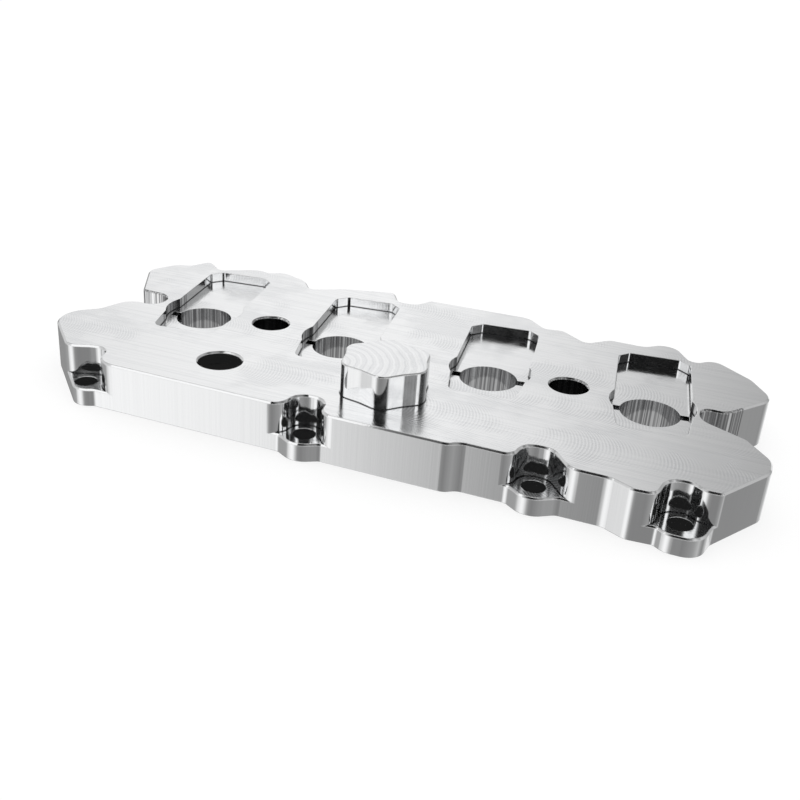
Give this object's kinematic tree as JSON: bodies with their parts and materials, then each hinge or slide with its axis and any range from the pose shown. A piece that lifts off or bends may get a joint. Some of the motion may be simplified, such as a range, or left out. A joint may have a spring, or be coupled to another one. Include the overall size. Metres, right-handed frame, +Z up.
{
  "type": "engine valve cover",
  "caption": "Flat billet cover for the valve gear of a straight-four engine, with coil pockets, plug wells, bolt ears and a lobed boss.",
  "frame": {"origin": "the middle of the cover's footprint, on the gasket face", "axes": "+X along the row of plug wells, +Y towards the edge with the wavy outline, +Z up out of the top face"},
  "size_m": [0.3906, 0.1888, 0.0442],
  "materials": {
    "machined_aluminium": "bright machined, fine cutter marks on the flat faces and near mirror walls"
  },
  "bodies": {
    "root": {"valve_cover": "machined_aluminium"}
  },
  "joints": []
}
